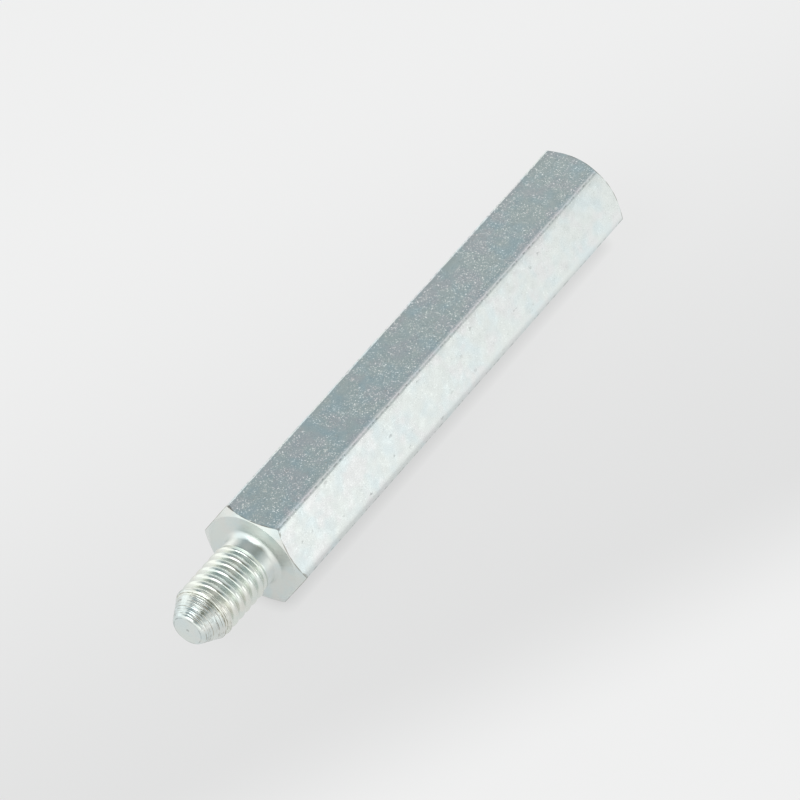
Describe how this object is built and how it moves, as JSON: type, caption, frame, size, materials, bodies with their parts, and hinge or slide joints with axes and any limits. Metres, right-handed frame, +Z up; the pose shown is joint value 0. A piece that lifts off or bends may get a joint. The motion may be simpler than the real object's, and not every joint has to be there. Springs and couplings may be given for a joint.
{
  "type": "hex standoff",
  "caption": "Long hex standoff turned in one piece, with a pointed threaded stud at one end and a blind threaded hole in the other, zinc plated.",
  "frame": {"origin": "under the middle of the overall length, on the surface that the standoff lies on", "axes": "+X along the axis from the stud to the threaded hole, +Z up out of the top flat, +Y across the axis"},
  "size_m": [0.0654, 0.0112, 0.0099],
  "materials": {
    "zinc_steel": "bright zinc plating with a faint bluish cast, drawn flats and turned ends"
  },
  "bodies": {
    "root": {"standoff": "zinc_steel"}
  },
  "joints": []
}
